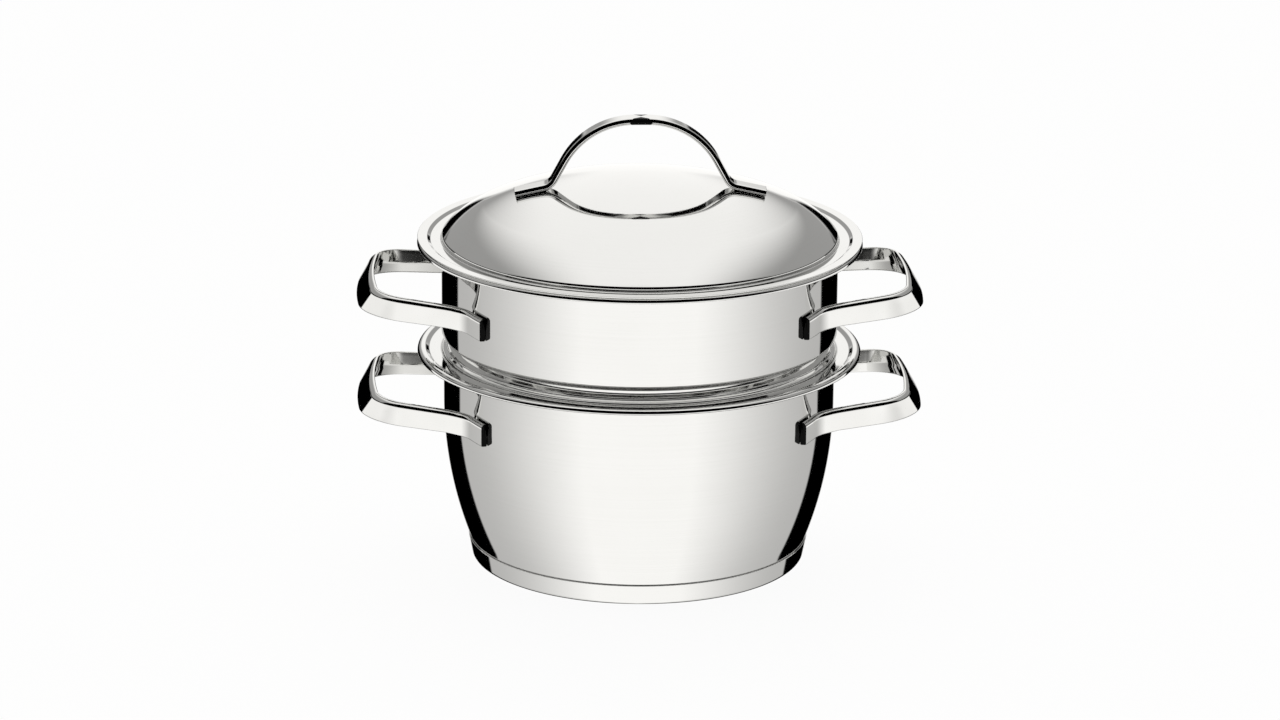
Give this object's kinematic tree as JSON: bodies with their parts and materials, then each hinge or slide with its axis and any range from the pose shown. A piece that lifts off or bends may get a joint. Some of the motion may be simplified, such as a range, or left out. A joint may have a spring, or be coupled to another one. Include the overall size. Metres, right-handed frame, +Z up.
{
  "type": "couscous steamer",
  "caption": "Stainless steel couscous steamer: bellied pot on a capped sandwich base, perforated steamer section in its mouth and a domed lid, with looped strap handles.",
  "frame": {"origin": "centre of the underside of the base, on the vessel's axis", "axes": "+Z up along the vessel's axis, +X towards the right-hand handles, +Y away from the viewer"},
  "size_m": [0.2878, 0.226, 0.2309],
  "materials": {
    "polished_steel": "mirror-polished stainless steel sheet",
    "handle_steel": "mirror-polished stainless steel strap with rounded edges",
    "heat_spreader": "plain rolled plate, sealed inside the base"
  },
  "bodies": {
    "root": {"pot_body": "polished_steel", "pot_base_cap": "polished_steel", "pot_heat_disc": "heat_spreader", "pot_handle_right": "handle_steel", "pot_handle_left": "handle_steel", "steamer_body": "polished_steel", "steamer_handle_right": "handle_steel", "steamer_handle_left": "handle_steel", "lid_shell": "polished_steel", "lid_handle": "handle_steel"}
  },
  "joints": []
}
